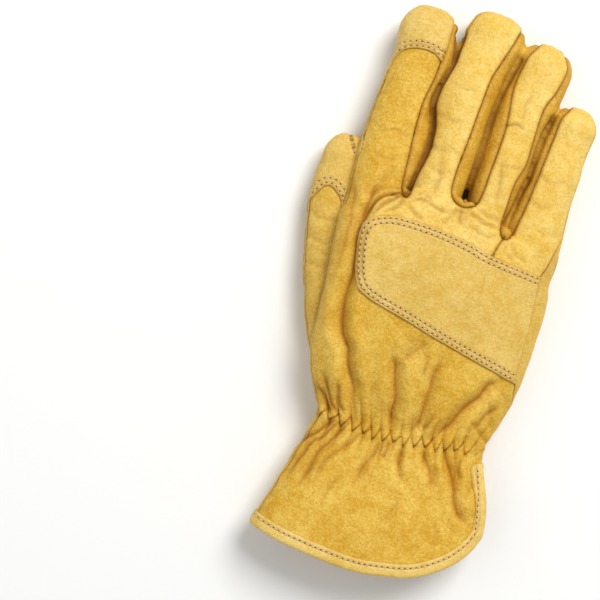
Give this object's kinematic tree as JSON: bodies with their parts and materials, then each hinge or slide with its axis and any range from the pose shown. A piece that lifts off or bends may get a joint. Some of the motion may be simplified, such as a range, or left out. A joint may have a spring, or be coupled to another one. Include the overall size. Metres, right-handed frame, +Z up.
{
  "type": "leather work glove",
  "caption": "Right-hand leather work glove lying palm down: separate back, palm and finger-side panels, stitched overlays, gathered wrist and a flared cuff with a side slit.",
  "frame": {"origin": "middle of the glove's bounding box in plan, on the surface that the palm lies on", "axes": "+Y to the fingertips, -X to the thumb side, +X to the little-finger side, +Z up through the back of the hand"},
  "size_m": [0.119, 0.2672, 0.0393],
  "materials": {
    "back_leather": "soft orange-yellow leather, matt",
    "knuckle_leather": "golden-yellow grain leather",
    "palm_leather": "golden-yellow grain leather",
    "strip_leather": "deep yellow leather, matt",
    "overlay_leather": "light yellow grain leather",
    "binding_leather": "light yellow grain leather, rolled"
  },
  "bodies": {
    "root": {"back_panel": "back_leather", "knuckle_panel": "knuckle_leather", "little_back": "knuckle_leather", "palm_panel": "palm_leather", "thumb_back": "palm_leather", "thumb_palm": "palm_leather", "fourchette_index_middle": "strip_leather", "fourchette_middle_ring": "strip_leather", "fourchette_ring_little": "strip_leather", "knuckle_band": "overlay_leather", "palm_patch": "overlay_leather", "index_overlay": "overlay_leather", "middle_tip_patch": "overlay_leather", "thumb_overlay": "overlay_leather", "cuff_binding": "binding_leather"}
  },
  "joints": []
}
